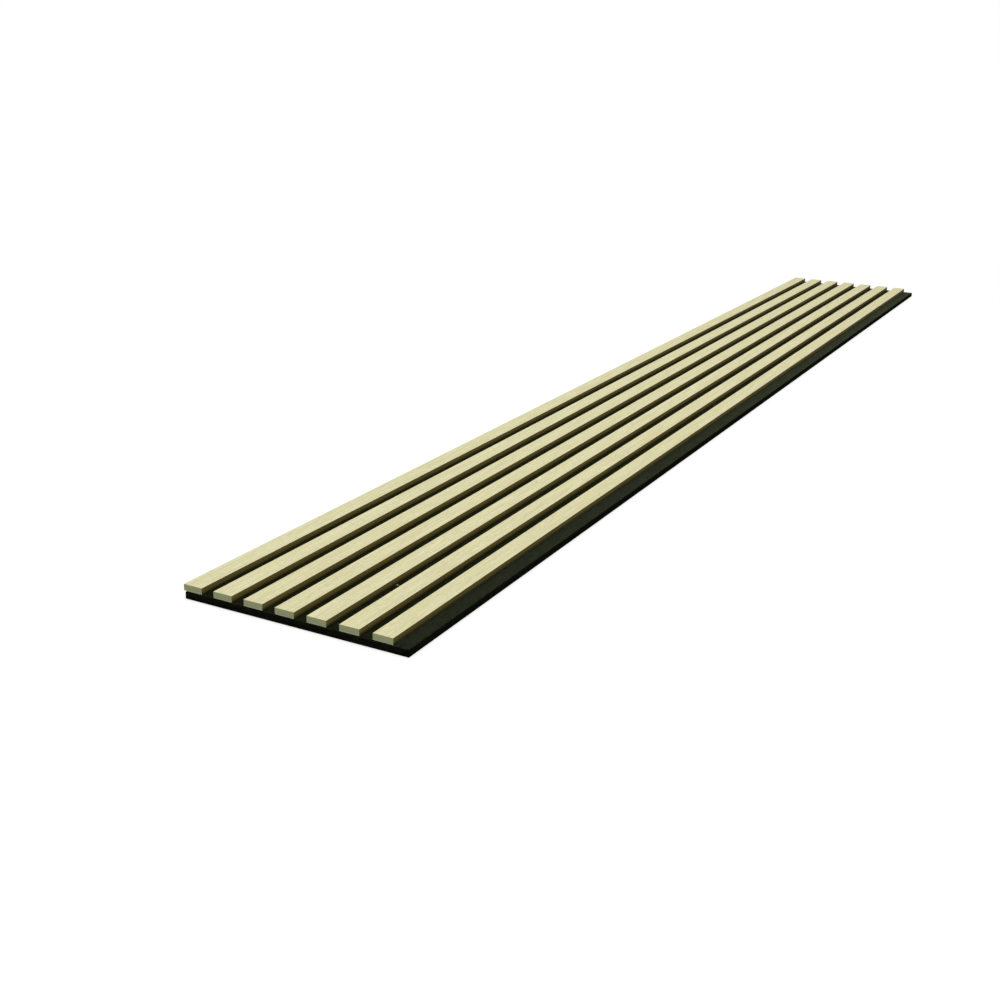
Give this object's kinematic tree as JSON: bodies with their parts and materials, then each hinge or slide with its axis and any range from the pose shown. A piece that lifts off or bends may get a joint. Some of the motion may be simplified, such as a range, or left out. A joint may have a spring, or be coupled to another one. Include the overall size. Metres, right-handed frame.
{
  "type": "acoustic slat wall panel",
  "caption": "Long flat wall panel of pale wood-faced slats fixed lengthwise on a black felt board, with open grooves between the slats.",
  "frame": {"origin": "middle of the overall box, on the plane of the felt's back", "axes": "+Y along the slats to the far end, +X across them to the side with the bare felt margin, +Z out of the wood face"},
  "size_m": [0.301, 2.4, 0.017],
  "materials": {
    "felt": "matt pressed fibre",
    "slat_wood": "matt, unvarnished look",
    "staple_steel": "galvanised"
  },
  "bodies": {
    "root": {"felt_backing": "felt", "slat_1": "slat_wood", "slat_2": "slat_wood", "slat_3": "slat_wood", "slat_4": "slat_wood", "slat_5": "slat_wood", "slat_6": "slat_wood", "slat_7": "slat_wood", "staples": "staple_steel"}
  },
  "joints": []
}
